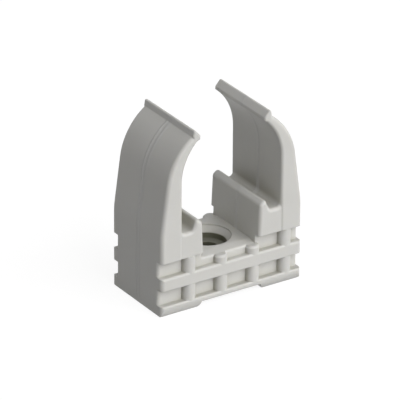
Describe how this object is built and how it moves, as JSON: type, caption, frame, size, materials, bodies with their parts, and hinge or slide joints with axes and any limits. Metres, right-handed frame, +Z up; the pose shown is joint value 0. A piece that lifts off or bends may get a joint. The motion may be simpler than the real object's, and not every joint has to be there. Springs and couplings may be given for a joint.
{
  "type": "conduit clip",
  "caption": "Snap-in clip that holds a rigid round conduit off a wall, with two springy arms, a lattice base and a screw hole in its floor.",
  "frame": {"origin": "middle of the mounting face, on the screw hole's axis", "axes": "+X across the two arms, +Y along the conduit, +Z up from the mounting face to the mouth"},
  "size_m": [0.0356, 0.0194, 0.0418],
  "materials": {
    "light_grey_plastic": "moulded, fine matte"
  },
  "bodies": {
    "root": {"conduit_clip": "light_grey_plastic"}
  },
  "joints": []
}
